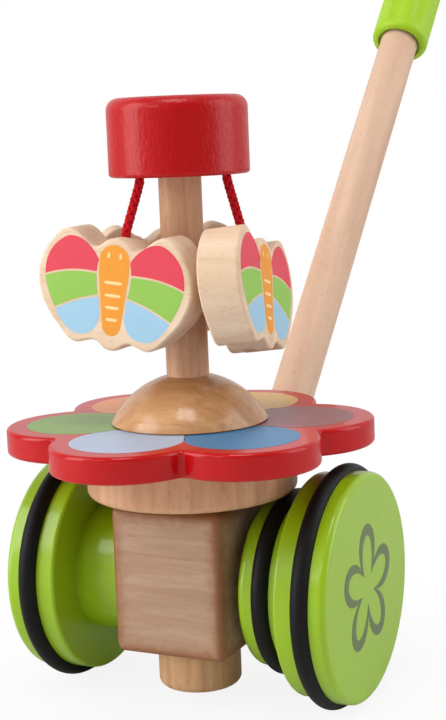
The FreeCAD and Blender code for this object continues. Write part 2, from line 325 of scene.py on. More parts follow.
def grain_coordinates(tree, turn):
    """Object coordinates turned so that Z runs with the grain."""
    mapping = add(tree, "ShaderNodeMapping", vector_type="TEXTURE")
    mapping.inputs["Rotation"].default_value = [math.radians(angle) for angle in turn]
    join(tree, add(tree, "ShaderNodeTexCoord").outputs["Object"], mapping.inputs["Vector"])
    return mapping.outputs[0]


def grouped_finish(name, group, turn, bump, depth, values, **shader_values):
    """Material whose colour, roughness and relief come from one shader group."""
    material, tree, shader = new_material(name, **shader_values)
    pattern = add(tree, "ShaderNodeGroup", node_tree=group)
    for label, value in values.items():
        pattern.inputs[label].default_value = value
    join(tree, grain_coordinates(tree, turn), pattern.inputs["Vector"])
    join(tree, pattern.outputs["Color"], shader.inputs["Base Color"])
    join(tree, pattern.outputs["Roughness"], shader.inputs["Roughness"])
    raise_relief(tree, shader, pattern.outputs["Height"], bump, depth)
    return material


def wood(name, turn, pale, deep, band=0.006, fleck=0.3, fibre=0.25, gloss=0.42, bump=0.25,
         **shader_values):
    values = {"Pale": chart(*pale), "Deep": chart(*deep), "Band Width": band, "Fleck": fleck,
              "Fibre": fibre, "Gloss": gloss}
    return grouped_finish(name, wood_group, turn, bump, texture_depth, values, **shader_values)


def paint(name, turn, color, shade, drift=0.3, gloss=0.28, bump=0.2, depth=texture_depth,
          **shader_values):
    values = {"Color": chart(*color), "Shade": chart(*shade), "Drift": drift, "Gloss": gloss}
    return grouped_finish(name, paint_group, turn, bump, depth, values, **shader_values)


along_x, along_z = (0, 90, 0), (0, 0, 0)
handle_low, handle_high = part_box("handle_stick")
handle_lean = math.degrees(math.atan2(handle_high.y - handle_low.y, handle_high.z - handle_low.z))
along_handle = (-handle_lean, 0, 0)
print("the handle's grain leans by", round(handle_lean, 1), "degrees")

# %% [markdown]
# ## Woods and paints
#
# The block, knob, turntable and post are beech, the dome is maple under lacquer, and the stick
# and the butterfly boards are left paler.  Each differs only in its two tones, the width of its
# bands and its gloss.  The reds and the green are paint over wood: the cap's coat is thick and
# shows its peel, the flower's is glossy, and the wheels' is smooth.

# %% Bare woods
block_wood = wood("block_beech", along_x, (182, 152, 124), (162, 128, 102), band=0.0035, fleck=0.22,
                  fibre=0.6, gloss=0.42, bump=0.35, coat=0.1, coat_roughness=0.3, specular=0.35)
knob_wood = wood("knob_beech", along_z, (212, 170, 126), (186, 142, 100), band=0.006, fleck=0.3,
                 fibre=0.4, gloss=0.42, coat=0.08, coat_roughness=0.3, specular=0.3)
turntable_wood = wood("turntable_beech", along_z, (216, 172, 134), (192, 144, 106), band=0.0045,
                      fleck=0.3, fibre=0.5, gloss=0.42, coat=0.08, coat_roughness=0.3, specular=0.3)
dome_wood = wood("dome_maple", along_x, (202, 154, 106), (176, 124, 78), band=0.003, fleck=0.1,
                 fibre=0.5, gloss=0.3, bump=0.2, coat=0.35, coat_roughness=0.12, specular=0.3)
post_wood = wood("post_beech", along_z, (216, 172, 136), (188, 140, 104), band=0.005, fleck=0.28,
                 fibre=0.45, gloss=0.42, coat=0.08, coat_roughness=0.25, specular=0.3)
stick_wood = wood("stick_beech", along_handle, (216, 184, 160), (202, 166, 140), band=0.008, fleck=0.22,
                  fibre=0.3, gloss=0.5, bump=0.04, specular=0.25)
board_wood = wood("butterfly_board", along_x, (230, 206, 180), (212, 182, 150), band=0.008, fleck=0.25,
                  fibre=0.35, gloss=0.46, bump=0.25, specular=0.3)
plain_wood = wood("dowel_wood", along_x, (214, 176, 138), (188, 146, 108), specular=0.3)
woods = (block_wood, knob_wood, turntable_wood, dome_wood, post_wood, stick_wood, board_wood, plain_wood)
print("woods", [material.name for material in woods])

# %% Paints
cap_red = paint("cap_red", along_z, (184, 1, 4), (150, 0, 2), gloss=0.3, bump=0.9, depth=0.00042,
                coat=0.15, coat_roughness=0.16, specular=0.2)
flower_red = paint("flower_red", along_x, (188, 2, 8), (162, 1, 4), gloss=0.36, bump=0.5, depth=0.0003,
                   coat=0.4, coat_roughness=0.07, specular=0.08)
wheel_green = paint("wheel_green", along_z, (146, 184, 4), (132, 168, 2), gloss=0.34, bump=0.18,
                    coat=0.4, coat_roughness=0.1, specular=0.3)
print("paints", [material.name for material in (cap_red, flower_red, wheel_green)])

# %% [markdown]
# ## Darker edges on the block
#
# The rounded edges of the block are mixed towards a warmer, darker brown.  On the surface of a
# box one of the three distances to its faces is nothing, and the middle one of the three tells
# how far away the nearest edge is.  That distance makes a soft mask for the darker tone.

# %% Darken the block's edges


def make_edge_group():
    group, given, result = named_tree(
        "edge_darkening", "ShaderNodeTree",
        [("Vector", "Vector", None), ("Middle", "Vector", (0, 0, 0)), ("Half Size", "Vector", (1, 1, 1)),
         ("Width", "Float", 0.003)],
        [("Mask", "Float")])
    calc, place = partial(math_node, group), given.outputs["Vector"]
    offset = vector_node(group, "ABSOLUTE", vector_node(group, "SUBTRACT", place, given.outputs["Middle"]))
    inside = add(group, "ShaderNodeSeparateXYZ")
    join(group, vector_node(group, "SUBTRACT", given.outputs["Half Size"], offset), inside.inputs[0])
    x, y, z = inside.outputs
    outer = calc("MINIMUM", calc("MAXIMUM", x, y), z)
    middle = calc("MAXIMUM", calc("MINIMUM", x, y), outer)
    wander = add(group, "ShaderNodeTexNoise", Scale=260.0, Detail=2.0)
    join(group, place, wander.inputs["Vector"])
    reach = calc("MULTIPLY", given.outputs["Width"], calc("ADD", wander.outputs["Fac"], 0.5))
    mask = ranged(group, calc("DIVIDE", middle, reach), to_low=1.0, to_high=0.0, soft=True)
    join(group, mask, result.inputs["Mask"])
    return group


edge_group = make_edge_group()


def darken_edges(material, node, width, tone, amount):
    """Put the edge mask between the grain and the shader."""
    tree = material.node_tree
    low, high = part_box(node)
    edge = add(tree, "ShaderNodeGroup", node_tree=edge_group)
    edge.inputs["Middle"].default_value = (low + high) / 2
    edge.inputs["Half Size"].default_value = (high - low) / 2
    edge.inputs["Width"].default_value = width
    join(tree, add(tree, "ShaderNodeTexCoord").outputs["Object"], edge.inputs["Vector"])
    shader = tree.nodes["Principled BSDF"]
    grain = shader.inputs["Base Color"].links[0].from_socket
    mask = math_node(tree, "MULTIPLY", edge.outputs["Mask"], amount)
    join(tree, mix_color(tree, mask, grain, chart(*tone)), shader.inputs["Base Color"])


# The block's rounded edges are mixed towards a warmer, darker brown over a reach that wanders.
darken_edges(block_wood, "axle_block", 7.5 * millimetre, (134, 72, 22), 0.85)
print("edges stained on the block")

# %% [markdown]
# ## Rubber, plastic and braid
#
# The tyres are round rubber cords, nearly black with a soft sheen.  The grip is lime plastic
# from a mould, even in colour with a fine spark-eroded texture that only shows in its
# highlights.  The cord's yarn drifts between two reds.  All three need the same recipe: one
# fine noise that drives a colour drift, a roughness range and a small bump.

# %% Rubber, plastic and braid


def two_tone(name, scale, first, second, bump, low, high, **shader_values):
    """Textured material that drifts between two near colours."""
    material, tree, shader = new_material(name, **shader_values)
    noise = add(tree, "ShaderNodeTexNoise", Scale=scale, Detail=3.0)
    join(tree, add(tree, "ShaderNodeTexCoord").outputs["Object"], noise.inputs["Vector"])
    pattern = noise.outputs["Fac"]
    join(tree, mix_color(tree, pattern, chart(*first), chart(*second)), shader.inputs["Base Color"])
    join(tree, ranged(tree, pattern, to_low=low, to_high=high), shader.inputs["Roughness"])
    raise_relief(tree, shader, pattern, bump, texture_depth)
    return material


rubber = two_tone("tyre_rubber", 700, (11, 10, 10), (20, 19, 19), 0.25, 0.42, 0.62, specular=0.16)
lime_plastic = two_tone("lime_plastic", 900, (158, 198, 26), (146, 186, 20), 0.025, 0.34, 0.48,
                        specular=0.35)
cord_red = two_tone("cord_red", 2600, (214, 8, 26), (150, 2, 12), 0.5, 0.6, 0.85, specular=0.2)
print("two-tone finishes", [material.name for material in (rubber, lime_plastic, cord_red)])

# %% [markdown]
# ## Dress the turned pieces
#
# The wheels, discs, dowels and boards already have their right shapes in the fixed frame, so
# they only need their material slots filled.

# %% Give every carried-over node its finish
finishes = {
    "axle_block": block_wood, "thrust_washer": plain_wood, "handle_stick": stick_wood,
    "handle_grip": lime_plastic, "axle": plain_wood, "left_hub": wheel_green,
    "friction_wheel": wheel_green, "friction_ring": rubber, "left_wheel": wheel_green,
    "right_wheel": wheel_green, "left_tyre": rubber, "right_tyre": rubber,
    "spindle_pin": plain_wood, "bottom_knob": knob_wood, "turntable_disc": turntable_wood,
    "flower_disc": flower_red, "dome_collar": dome_wood, "centre_post": post_wood, "top_cap": cap_red,
}
numbers = ("1", "2", "3")
for number in numbers:
    finishes["butterfly_" + number] = board_wood
for node, material in finishes.items():
    nodes[node].data.materials.clear()
    nodes[node].data.materials.append(material)
print("finished", len(finishes), "carried-over nodes")

# %% [markdown]
# ## Painted petal circles
#
# Each petal carries one round field of colour.  The six fields are the same disc turned round
# the middle, so Geometry Nodes place them: a disc on each point of a circle, with its colour
# stored as an attribute that one paint material reads.  The discs are a paint's thickness
# high and closed, so that they are real geometry and not a floating sheet.

# %% Helpers for Geometry Nodes


def evaluated_mesh(holder):
    """Plain mesh of an object as its modifiers or its bevel make it."""
    depsgraph = bpy.context.evaluated_depsgraph_get()
    return bpy.data.meshes.new_from_object(holder.evaluated_get(depsgraph), depsgraph=depsgraph)


def made_by_nodes(name, tree, values, source=None):
    """Plain mesh object from a tree: inputs are set by identifier, then the result is kept."""
    holder = source or placed(name + "_holder", bpy.data.meshes.new(name + "_holder"))
    modifier = holder.modifiers.new("nodes", "NODES")
    modifier.node_group = tree
    for item in tree.interface.items_tree:
        if item.item_type == "SOCKET" and item.in_out == "INPUT" and item.name in values:
            modifier[item.identifier] = values[item.name]
    mesh = evaluated_mesh(holder)
    mesh.name = name
    made = placed(name, mesh)
    holder.modifiers.remove(modifier)
    bpy.data.objects.remove(holder)
    return made


def end_tree(tree, given, result, geometry):
    """Make a tree's instances real and give them the material that it was given."""
    solid = add(tree, "GeometryNodeRealizeInstances")
    join(tree, geometry, solid.inputs[0])
    dressed = add(tree, "GeometryNodeSetMaterial")
    join(tree, solid.outputs[0], dressed.inputs["Geometry"])
    join(tree, given.outputs["Material"], dressed.inputs["Material"])
    join(tree, dressed.outputs[0], result.inputs[0])


def two_legs(tree, angle, reach):
    """Cosine and sine of an angle, times a reach."""
    return [math_node(tree, "MULTIPLY", math_node(tree, leg, angle), reach) for leg in ("COSINE", "SINE")]


print("helpers for trees ready")

# %% Build the petal circles tree
petal_colors = [(58, 122, 168), (140, 82, 88), (222, 172, 92), (228, 146, 92), (126, 160, 74),
                (172, 186, 210)]


def petal_circles_tree():
    tree, given, result = named_tree(
        "petal_circles", "GeometryNodeTree",
        [("Geometry", "Geometry", None), ("Petals", "Int", 6), ("Centre Radius", "Float", 0.045),
         ("Field Radius", "Float", 0.022), ("Film", "Float", 0.0001), ("First Angle", "Float", 0.0),
         ("Height", "Float", 0.1), ("Material", "Material", None)],
        [("Geometry", "Geometry")])
    calc = partial(math_node, tree)
    points = add(tree, "GeometryNodeMeshLine", mode="OFFSET")
    points.inputs["Offset"].default_value = (0, 0, 0)
    join(tree, given.outputs["Petals"], points.inputs["Count"])
    index = add(tree, "GeometryNodeInputIndex").outputs[0]
    step = calc("DIVIDE", math.tau, given.outputs["Petals"])
    angle = calc("ADD", calc("MULTIPLY", index, step), given.outputs["First Angle"])
    place = add(tree, "ShaderNodeCombineXYZ")
    legs = two_legs(tree, angle, given.outputs["Centre Radius"])
    for slot, value in zip(place.inputs, (*legs, given.outputs["Height"])):
        join(tree, value, slot)
    spread = add(tree, "GeometryNodeSetPosition")
    join(tree, points.outputs[0], spread.inputs["Geometry"])
    join(tree, place.outputs[0], spread.inputs["Position"])
    disc = add(tree, "GeometryNodeMeshCylinder", Vertices=96)
    join(tree, given.outputs["Field Radius"], disc.inputs["Radius"])
    join(tree, given.outputs["Film"], disc.inputs["Depth"])
    copies = add(tree, "GeometryNodeInstanceOnPoints")
    join(tree, spread.outputs[0], copies.inputs["Points"])
    join(tree, disc.outputs[0], copies.inputs["Instance"])
    choice = add(tree, "GeometryNodeIndexSwitch", data_type="RGBA")
    while len(choice.index_switch_items) < len(petal_colors):
        choice.index_switch_items.new()
    join(tree, index, choice.inputs["Index"])
    for slot, color in zip(list(choice.inputs)[1:], petal_colors):
        slot.default_value = chart(*color)
    colored = add(tree, "GeometryNodeStoreNamedAttribute", data_type="FLOAT_COLOR", domain="INSTANCE")
    colored.inputs["Name"].default_value = "petal_color"
    join(tree, copies.outputs[0], colored.inputs["Geometry"])
    join(tree, choice.outputs[0], colored.inputs["Value"])
    end_tree(tree, given, result, colored.outputs[0])
    return tree


def petal_paint_material():
    """Satin paint whose colour is the field's own attribute, with the board's grain showing."""
    material = grouped_finish("petal_paint", paint_group, along_x, 0.2, texture_depth,
                              {"Drift": 0.5, "Gloss": 0.34}, coat=0.1, coat_roughness=0.25, specular=0.25)
    tree = material.node_tree
    pattern = next(node for node in tree.nodes if node.type == "GROUP")
    own = add(tree, "ShaderNodeAttribute", attribute_name="petal_color").outputs["Color"]
    join(tree, own, pattern.inputs["Color"])
    join(tree, mix_color(tree, 1.0, own, (0.8, 0.8, 0.8, 1), "MULTIPLY"), pattern.inputs["Shade"])
    return material


print("petal colours", len(petal_colors))

# %% Lay the petal circles on the flower
flower_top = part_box("flower_disc")[1].z
petal_circles = made_by_nodes("petal_circles", petal_circles_tree(), {
    "Petals": len(petal_colors), "Centre Radius": 44.6 * millimetre, "Field Radius": 22.6 * millimetre,
    "Film": 0.12 * millimetre, "First Angle": math.radians(-36.1), "Height": flower_top,
    "Material": petal_paint_material()})
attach(petal_circles, "spinner")
print("petal circles", len(petal_circles.data.polygons), "faces")

# %% [markdown]
# ## Flower outlines on the wheels
#
# The outer face of each wheel has a grey-green flower drawn in outline.  Two closed lines,
# whose reach swells and shrinks five times round the middle, are its outer and inner edges.
# Each is given by an angle and a reach, so they never cross, and the ring between them is
# thick at the petals' tips and thin between the petals.

# %% Print the wheel flowers
flower_petals = 5
outer_tip, outer_notch, outer_fullness = 26.5 * millimetre, 9.4 * millimetre, 0.62
inner_tip, inner_notch, inner_fullness = 22.0 * millimetre, 6.6 * millimetre, 1.25
outline_steps = 300
print_film = 0.1 * millimetre
flower_ink = paint("flower_outline", along_z, (94, 110, 68), (84, 100, 60), drift=0.4, gloss=0.42, bump=0.15)


def petal_line(turn, tip, notch, fullness):
    """Point on a closed line that reaches out once for each petal."""
    swell = abs(math.cos(flower_petals * turn / 2)) ** fullness
    reach = notch + (tip - notch) * swell
    return Vector((reach * math.sin(turn), reach * math.cos(turn)))


def outward_mesh(build, name):
    """Mesh from a bmesh, with its faces turned outwards."""
    bmesh.ops.recalc_face_normals(build, faces=build.faces)
    mesh = bpy.data.meshes.new(name)
    build.to_mesh(mesh)
    build.free()
    return mesh


def flower_outline(name, face, outward, centre):
    """Closed flat ring that follows the petals on a face across X."""
    build = bmesh.new()
    rings = []
    for step in range(outline_steps):
        turn = math.tau * step / outline_steps
        outer = petal_line(turn, outer_tip, outer_notch, outer_fullness)
        inner = petal_line(turn, inner_tip, inner_notch, inner_fullness)
        corners = ((outer, 1.0), (inner, 1.0), (inner, -0.5), (outer, -0.5))
        rings.append([
            build.verts.new((face + outward * lift * print_film, centre.y + point.x, centre.z + point.y))
            for point, lift in corners])
    for first, second in zip(rings, rings[1:] + rings[:1]):
        for corner in range(4):
            follow = (corner + 1) % 4
            build.faces.new((first[corner], first[follow], second[follow], second[corner]))
    mesh = outward_mesh(build, name)
    mesh.materials.append(flower_ink)
    return placed(name, mesh)


for wheel, outward in (("left_wheel", -1), ("right_wheel", 1)):
    low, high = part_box(wheel)
    face = high.x if outward > 0 else low.x
    outline = flower_outline(wheel + "_flower", face, outward, (low + high) / 2)
    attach(outline, "wheelset")
    print(outline.name, len(outline.data.polygons), "faces")

# %% [markdown]
# ## Hanging cords
#
# Each butterfly hangs on a short round cord of red braid that comes out of the cap's underside
# and slants out to the butterfly's head.  The route is one smooth curve through the same
# points as the frame's own cord.  A braid is two families of strands wound opposite ways that
# pass over and under each other, which is a rule, so Geometry Nodes wind them round the route.

# %% Build the braid tree
cord_diameter = 3.2 * millimetre
strand_radius = 0.68 * millimetre
strands_each_way = 4


def braid_tree():
    tree, given, result = named_tree(
        "braid", "GeometryNodeTree",
        [("Geometry", "Geometry", None), ("Radius", "Float", 0.001), ("Strand Radius", "Float", 0.0004),
         ("Strands", "Int", 8), ("Turns Per Metre", "Float", 90.0), ("Weave", "Float", 0.0002),
         ("Material", "Material", None)],
        [("Geometry", "Geometry")])
    calc, strands = partial(math_node, tree), given.outputs["Strands"]
    route = add(tree, "GeometryNodeMeshToCurve")
    join(tree, given.outputs["Geometry"], route.inputs[0])
    even = add(tree, "GeometryNodeResampleCurve", mode="LENGTH", Length=0.3 * millimetre)
    join(tree, route.outputs[0], even.inputs[0])
    copies = add(tree, "GeometryNodeDuplicateElements", domain="SPLINE")
    join(tree, even.outputs[0], copies.inputs[0])
    join(tree, strands, copies.inputs["Amount"])
    numbered = add(tree, "GeometryNodeStoreNamedAttribute", data_type="INT", domain="CURVE")
    numbered.inputs["Name"].default_value = "strand"
    join(tree, copies.outputs[0], numbered.inputs["Geometry"])
    join(tree, copies.outputs["Duplicate Index"], numbered.inputs["Value"])
    own = add(tree, "GeometryNodeInputNamedAttribute", data_type="INT")
    own.inputs["Name"].default_value = "strand"
    strand = own.outputs["Attribute"]

    # Even strands turn one way and odd ones the other, and each pair starts further round.
    side = calc("SUBTRACT", calc("MULTIPLY", calc("MODULO", strand, 2), 2), 1)
    pair = calc("FLOOR", calc("DIVIDE", strand, 2))
    phase = calc("DIVIDE", calc("MULTIPLY", pair, 2 * math.tau), strands)
    along = add(tree, "GeometryNodeSplineParameter").outputs["Length"]
    turn = calc("MULTIPLY", calc("MULTIPLY", along, given.outputs["Turns Per Metre"]), math.tau)
    angle = calc("ADD", calc("MULTIPLY", turn, side), phase)
    wave = calc("COSINE", calc("MULTIPLY", calc("MULTIPLY", turn, 0.5), strands))
    lift = calc("MULTIPLY", calc("MULTIPLY", wave, side), given.outputs["Weave"])
    reach = calc("ADD", given.outputs["Radius"], lift)
    normal = add(tree, "GeometryNodeInputNormal").outputs[0]
    tangent = add(tree, "GeometryNodeInputTangent").outputs[0]
    sideways = vector_node(tree, "CROSS_PRODUCT", tangent, normal)
    across, up = two_legs(tree, angle, reach)
    around = vector_node(tree, "ADD", vector_node(tree, "SCALE", normal, across),
                         vector_node(tree, "SCALE", sideways, up))
    wound = add(tree, "GeometryNodeSetPosition")
    join(tree, numbered.outputs[0], wound.inputs["Geometry"])
    join(tree, around, wound.inputs["Offset"])

    def tube(curve, radius, sides):
        profile = add(tree, "GeometryNodeCurvePrimitiveCircle", mode="RADIUS", Resolution=sides)
        join(tree, radius, profile.inputs["Radius"])
        skin = add(tree, "GeometryNodeCurveToMesh")
        skin.inputs["Fill Caps"].default_value = True
        join(tree, curve, skin.inputs["Curve"])
        join(tree, profile.outputs[0], skin.inputs["Profile Curve"])
        return skin.outputs[0]

    both = add(tree, "GeometryNodeJoinGeometry")
    join(tree, tube(wound.outputs[0], given.outputs["Strand Radius"], 8), both.inputs[0])
    core = calc("SUBTRACT", given.outputs["Radius"], calc("MULTIPLY", given.outputs["Strand Radius"], 0.6))
    join(tree, tube(even.outputs[0], core, 12), both.inputs[0])
    smooth = add(tree, "GeometryNodeSetShadeSmooth")
    join(tree, both.outputs[0], smooth.inputs[0])
    end_tree(tree, given, result, smooth.outputs[0])
    return tree


braid = braid_tree()
braid_values = {
    "Strands": 2 * strands_each_way, "Strand Radius": strand_radius, "Weave": 0.2 * millimetre,
    "Radius": cord_diameter / 2 - strand_radius + 0.22 * millimetre, "Turns Per Metre": 70.0,
    "Material": cord_red}


def nurbs_mesh(name, points, closed=False, **settings):
    """Mesh of one smooth curve through control points."""
    curve = bpy.data.curves.new(name, "CURVE")
    curve.dimensions = "3D"
    for setting, value in settings.items():
        setattr(curve, setting, value)
    spline = curve.splines.new("NURBS")
    spline.points.add(len(points) - 1)
    for target, point in zip(spline.points, points):
        target.co = (*point, 1)
    spline.order_u = 3
    spline.use_endpoint_u = not closed
    spline.use_cyclic_u = closed
    holder = placed(name, curve)
    mesh = evaluated_mesh(holder)
    bpy.data.objects.remove(holder)
    return mesh


def braided(name, points):
    """Braid wound along a route, and the route's own points."""
    mesh = nurbs_mesh(name + "_route", points, resolution_u=24)
    line = [vertex.co.copy() for vertex in mesh.vertices]
    return made_by_nodes(name, braid, braid_values, placed(name + "_line", mesh)), line


print("braid of", 2 * strands_each_way, "strands")

# %% Hang the cords
past_hinge = 0.4 * millimetre
cord_ends = {}
for number in numbers:
    top = Vector(joints["cord_swing_" + number]["pos_m"])
    bottom = Vector(joints["butterfly_tilt_" + number]["pos_m"])
    cord_ends[number] = (top, bottom)
    anchor_low, anchor_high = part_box("cord_anchor_" + number)
    inside = Vector((top.x, top.y, anchor_high.z))
    mouth = Vector((top.x, top.y, anchor_low.z))
    slope = (bottom - top).normalized()
    points = [inside, inside.lerp(mouth, 0.5), mouth, top, top.lerp(bottom, 0.35), top.lerp(bottom, 0.7),
              bottom + slope * past_hinge]
    braid_piece, line = braided("hanging_cord_" + number, points)
    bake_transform(braid_piece)
    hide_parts("cord_" + number, "cord_anchor_" + number)

# %% [markdown]
# ## The butterflies' own frames
#
# Each butterfly hangs from a point above its head and faces its own way, and two of them lean
# a little.  One matrix per butterfly takes the drawing of a single butterfly, made about its
# middle with the face towards -Y, to where that butterfly hangs.

# %% Find where each butterfly hangs
facing_angles = {"1": -88.0, "2": 5.5, "3": 125.9}
lean_angles = {"1": 6.7, "2": 13.5, "3": 0.0}
pitch_angles = {"1": 0.0, "2": 6.5, "3": 0.0}
head_height = 21.2 * millimetre
tail_height = -23.6 * millimetre
hinge_drop = 1.9 * millimetre
board_half = 8.6 * millimetre
butterfly_frames = {}
for number in numbers:
    turn = (Matrix.Rotation(math.radians(facing_angles[number] + 90), 4, "Z")
            @ Matrix.Rotation(math.radians(lean_angles[number]), 4, "Y")
            @ Matrix.Rotation(math.radians(-pitch_angles[number]), 4, "X"))
    hinge = cord_ends[number][1]
    middle = hinge - turn @ Vector((0, 0, head_height + hinge_drop))
    butterfly_frames[number] = Matrix.Translation(middle) @ turn
    print("butterfly", number, "middle", [round(value, 4) for value in middle])

# %% [markdown]
# ## Cord through the butterfly
#
# The cord goes down a drilled hole in the board and ends in an overhand knot that sits in a
# recess under the tail.  The straight part is the same braid, and the knot is a short tube
# along a three-lobed knot line, which is the shape an overhand knot pulls into.

# %% Run the cords through and knot them
knot_steps = 24
knot_reach, knot_radius = 1.55 * millimetre, 1.05 * millimetre
knot_centre = Vector((0, 0, tail_height + 3.1 * millimetre))
run_top = Vector((0, 0, head_height + hinge_drop + 0.3 * millimetre))


def knot_line():
    """Points of a small three-lobed knot."""
    points = []
    for step in range(knot_steps):
        turn = math.tau * step / knot_steps
        points.append((knot_centre.x + knot_reach * (math.sin(turn) + 2 * math.sin(2 * turn)) / 3,
                       knot_centre.y + knot_reach * (math.cos(turn) - 2 * math.cos(2 * turn)) / 3,
                       knot_centre.z - knot_reach * math.sin(3 * turn) / 2.2))
    return points


def merged(name, meshes):
    """One object from several meshes that share a material."""
    build = bmesh.new()
    for mesh in meshes:
        build.from_mesh(mesh)
    for face in build.faces:
        face.smooth = True
    mesh = outward_mesh(build, name)
    mesh.materials.append(cord_red)
    return placed(name, mesh)


for number in numbers:
    place = butterfly_frames[number]
    run_points = [place @ run_top.lerp(knot_centre, share) for share in (0, 0.25, 0.5, 0.75, 1)]
    run_piece, _ = braided("cord_through_" + number, run_points)
    knot = nurbs_mesh("knot_" + number, knot_line(), closed=True, bevel_depth=knot_radius, bevel_resolution=3)
    knot.transform(place)
    tail = merged("cord_tail_braid_" + number, [run_piece.data, knot])
    bpy.data.objects.remove(run_piece)
    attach(tail, "hanging_butterfly_" + number)
    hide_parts("cord_tail_" + number)
    print(tail.name, len(tail.data.polygons), "faces")

# %% [markdown]
# ## Printed butterfly wings
#
# Each board carries a flat print on its front: an orange body, and wings in three bands with
# bare wood between them.  One smooth loop is the outline of a whole wing, and two dividing
# curves trim it into the three bands.  Every patch is a closed sheet a paint's thickness high.

# %% Draw the outlines of the print
ink_lift = 0.06 * millimetre
band_gap = 0.42
upper_start, upper_span = 7, 23
lower_start, lower_span = 7, 20
body_top, body_bottom, body_middle, body_half = 18.6, -17.6, 0.5, 18.08
loop_steps, divider_steps, body_steps, mark_steps = 10, 24, 60, 20
wing_edge = [(6.3, -3), (7.3, 2), (7.6, 6.6), (7.4, 9.8), (6.9, 11.9), (7.6, 13.4), (9.8, 16.0),
             (13.0, 18.6), (16.8, 20.2), (21.0, 20.1), (25.6, 17.2), (29.3, 12.2), (30.7, 5.6),
             (29.4, -1.4), (26.2, -8.2), (22.8, -13.6), (19.4, -16.9), (15.6, -18.3), (11.6, -18.0),
             (8.2, -16.2), (6.2, -13.0), (5.6, -9.4)]


def smooth_loop(points):
    """Closed Catmull-Rom curve through the points."""
    loop = []
    count = len(points)
    for index in range(count):
        before, start, end, after = (Vector(points[(index + shift) % count]) for shift in (-1, 0, 1, 2))
        for step in range(loop_steps):
            share = step / loop_steps
            loop.append(0.5 * (2 * start + (end - before) * share
                               + (2 * before - 5 * start + 4 * end - after) * share ** 2
                               + (3 * start - before - 3 * end + after) * share ** 3))
    return loop


def upper_divider(across):
    """Height of the line between the red and the green, in millimetres."""
    share = (across - upper_start) / upper_span
    return 6.9 - 1.9 * share + 3.6 * share * (1 - share) - 1.2 * max(0, share) ** 3


def lower_divider(across):
    """Height of the line between the green and the blue."""
    share = (across - lower_start) / lower_span
    return -2.2 - 7.9 * share + 3.4 * share * (1 - share)


def trimmed(loop, divider, above):
    """Part of a loop above or below a curve, closed along that curve."""
    sign = 1 if above else -1
    kept = []
    outside = next(index for index, point in enumerate(loop) if sign * (point.y - divider(point.x)) < 0)
    loop = loop[outside:] + loop[:outside + 1]
    for first, second in zip(loop, loop[1:]):
        start = sign * (first.y - divider(first.x))
        end = sign * (second.y - divider(second.x))
        if start >= 0:
            kept.append(first)
        if (start >= 0) != (end >= 0):
            kept.append(first.lerp(second, start / (start - end)))
            if end < 0:
                break
    left, width = kept[-1].x, kept[0].x - kept[-1].x
    across = [left + width * step / divider_steps for step in range(1, divider_steps)]
    return kept + [Vector((x, divider(x))) for x in across]


def half_width(height):
    """Half width of the orange body: round at both ends and slimmer below."""
    wide = 6.6 - 2.5 * min(1.0, max(0.0, (7.0 - height) / 21.0))
    for end, reach in ((body_top, 6.0), (body_bottom, 4.4)):
        gap = abs(height - end)
        if gap < reach:
            wide *= math.sqrt(max(0.0, 1 - ((reach - gap) / reach) ** 2))
    return wide


def body_loop():
    """Outline of the body, up its right side and down its left."""
    heights = [body_middle - body_half * math.cos(math.pi * step / body_steps)
               for step in range(1, body_steps)]
    right = [(half_width(height), height) for height in heights]
    return right + [(-across, height) for across, height in reversed(right)]


def rounded_mark(across, height, wide, high):
    """Outline of a small mark with rounded corners."""
    def bent(value):
        return math.copysign(abs(value) ** 0.6, value)
    turns = [math.tau * step / mark_steps for step in range(mark_steps)]
    return [(across + wide / 2 * bent(math.cos(turn)), height + high / 2 * bent(math.sin(turn)))
            for turn in turns]


wing = smooth_loop(wing_edge)
print("wing outline", len(wing), "points, body", len(body_loop()), "points")

# %% Print the wings and bodies
red_slot, green_slot, blue_slot, orange_slot, pale_slot = range(5)
eyes = [(side * 2.6, 14.3, 1.0, 2.2) for side in (-1, 1)]
stripes = [(0, 3.6, 7.9, 1.25), (0, -1.5, 7.1, 1.25), (0, -6.3, 6.1, 1.25), (0, -11.1, 5.0, 1.25)]


def flat_patch(build, loop, slot, lift=1.0, sink=0.5):
    """Closed sheet with the loop as its outline, on the face of the board."""
    rings = [[build.verts.new((point[0] * millimetre, depth, point[1] * millimetre)) for point in loop]
             for depth in (-board_half - lift * ink_lift, -board_half + sink * ink_lift)]
    build.faces.new(rings[0]).material_index = slot
    build.faces.new(list(reversed(rings[1]))).material_index = slot
    for index in range(len(loop)):
        follow = (index + 1) % len(loop)
        corners = (rings[0][index], rings[1][index], rings[1][follow], rings[0][follow])
        build.faces.new(corners).material_index = slot


def print_mesh():
    """The whole print: both wings' bands, the body and its eyes and stripes."""
    below_upper = trimmed(wing, lambda across: upper_divider(across) - band_gap, False)
    bands = {red_slot: trimmed(wing, lambda across: upper_divider(across) + band_gap, True),
             green_slot: trimmed(below_upper, lambda across: lower_divider(across) + band_gap, True),
             blue_slot: trimmed(wing, lambda across: lower_divider(across) - band_gap, False)}
    build = bmesh.new()
    for side in (-1, 1):
        for slot, band in bands.items():
            flat_patch(build, [(side * point.x, point.y) for point in band], slot)
    flat_patch(build, body_loop(), orange_slot)
    for mark in eyes + stripes:
        flat_patch(build, rounded_mark(*mark), pale_slot, lift=1.8, sink=-0.5)
    bmesh.ops.triangulate(build, faces=build.faces)
    return outward_mesh(build, "butterfly_print")


def ink(name, color, shade):
    return paint(name, along_x, color, shade, drift=0.45, gloss=0.42, bump=0.3, specular=0.4)


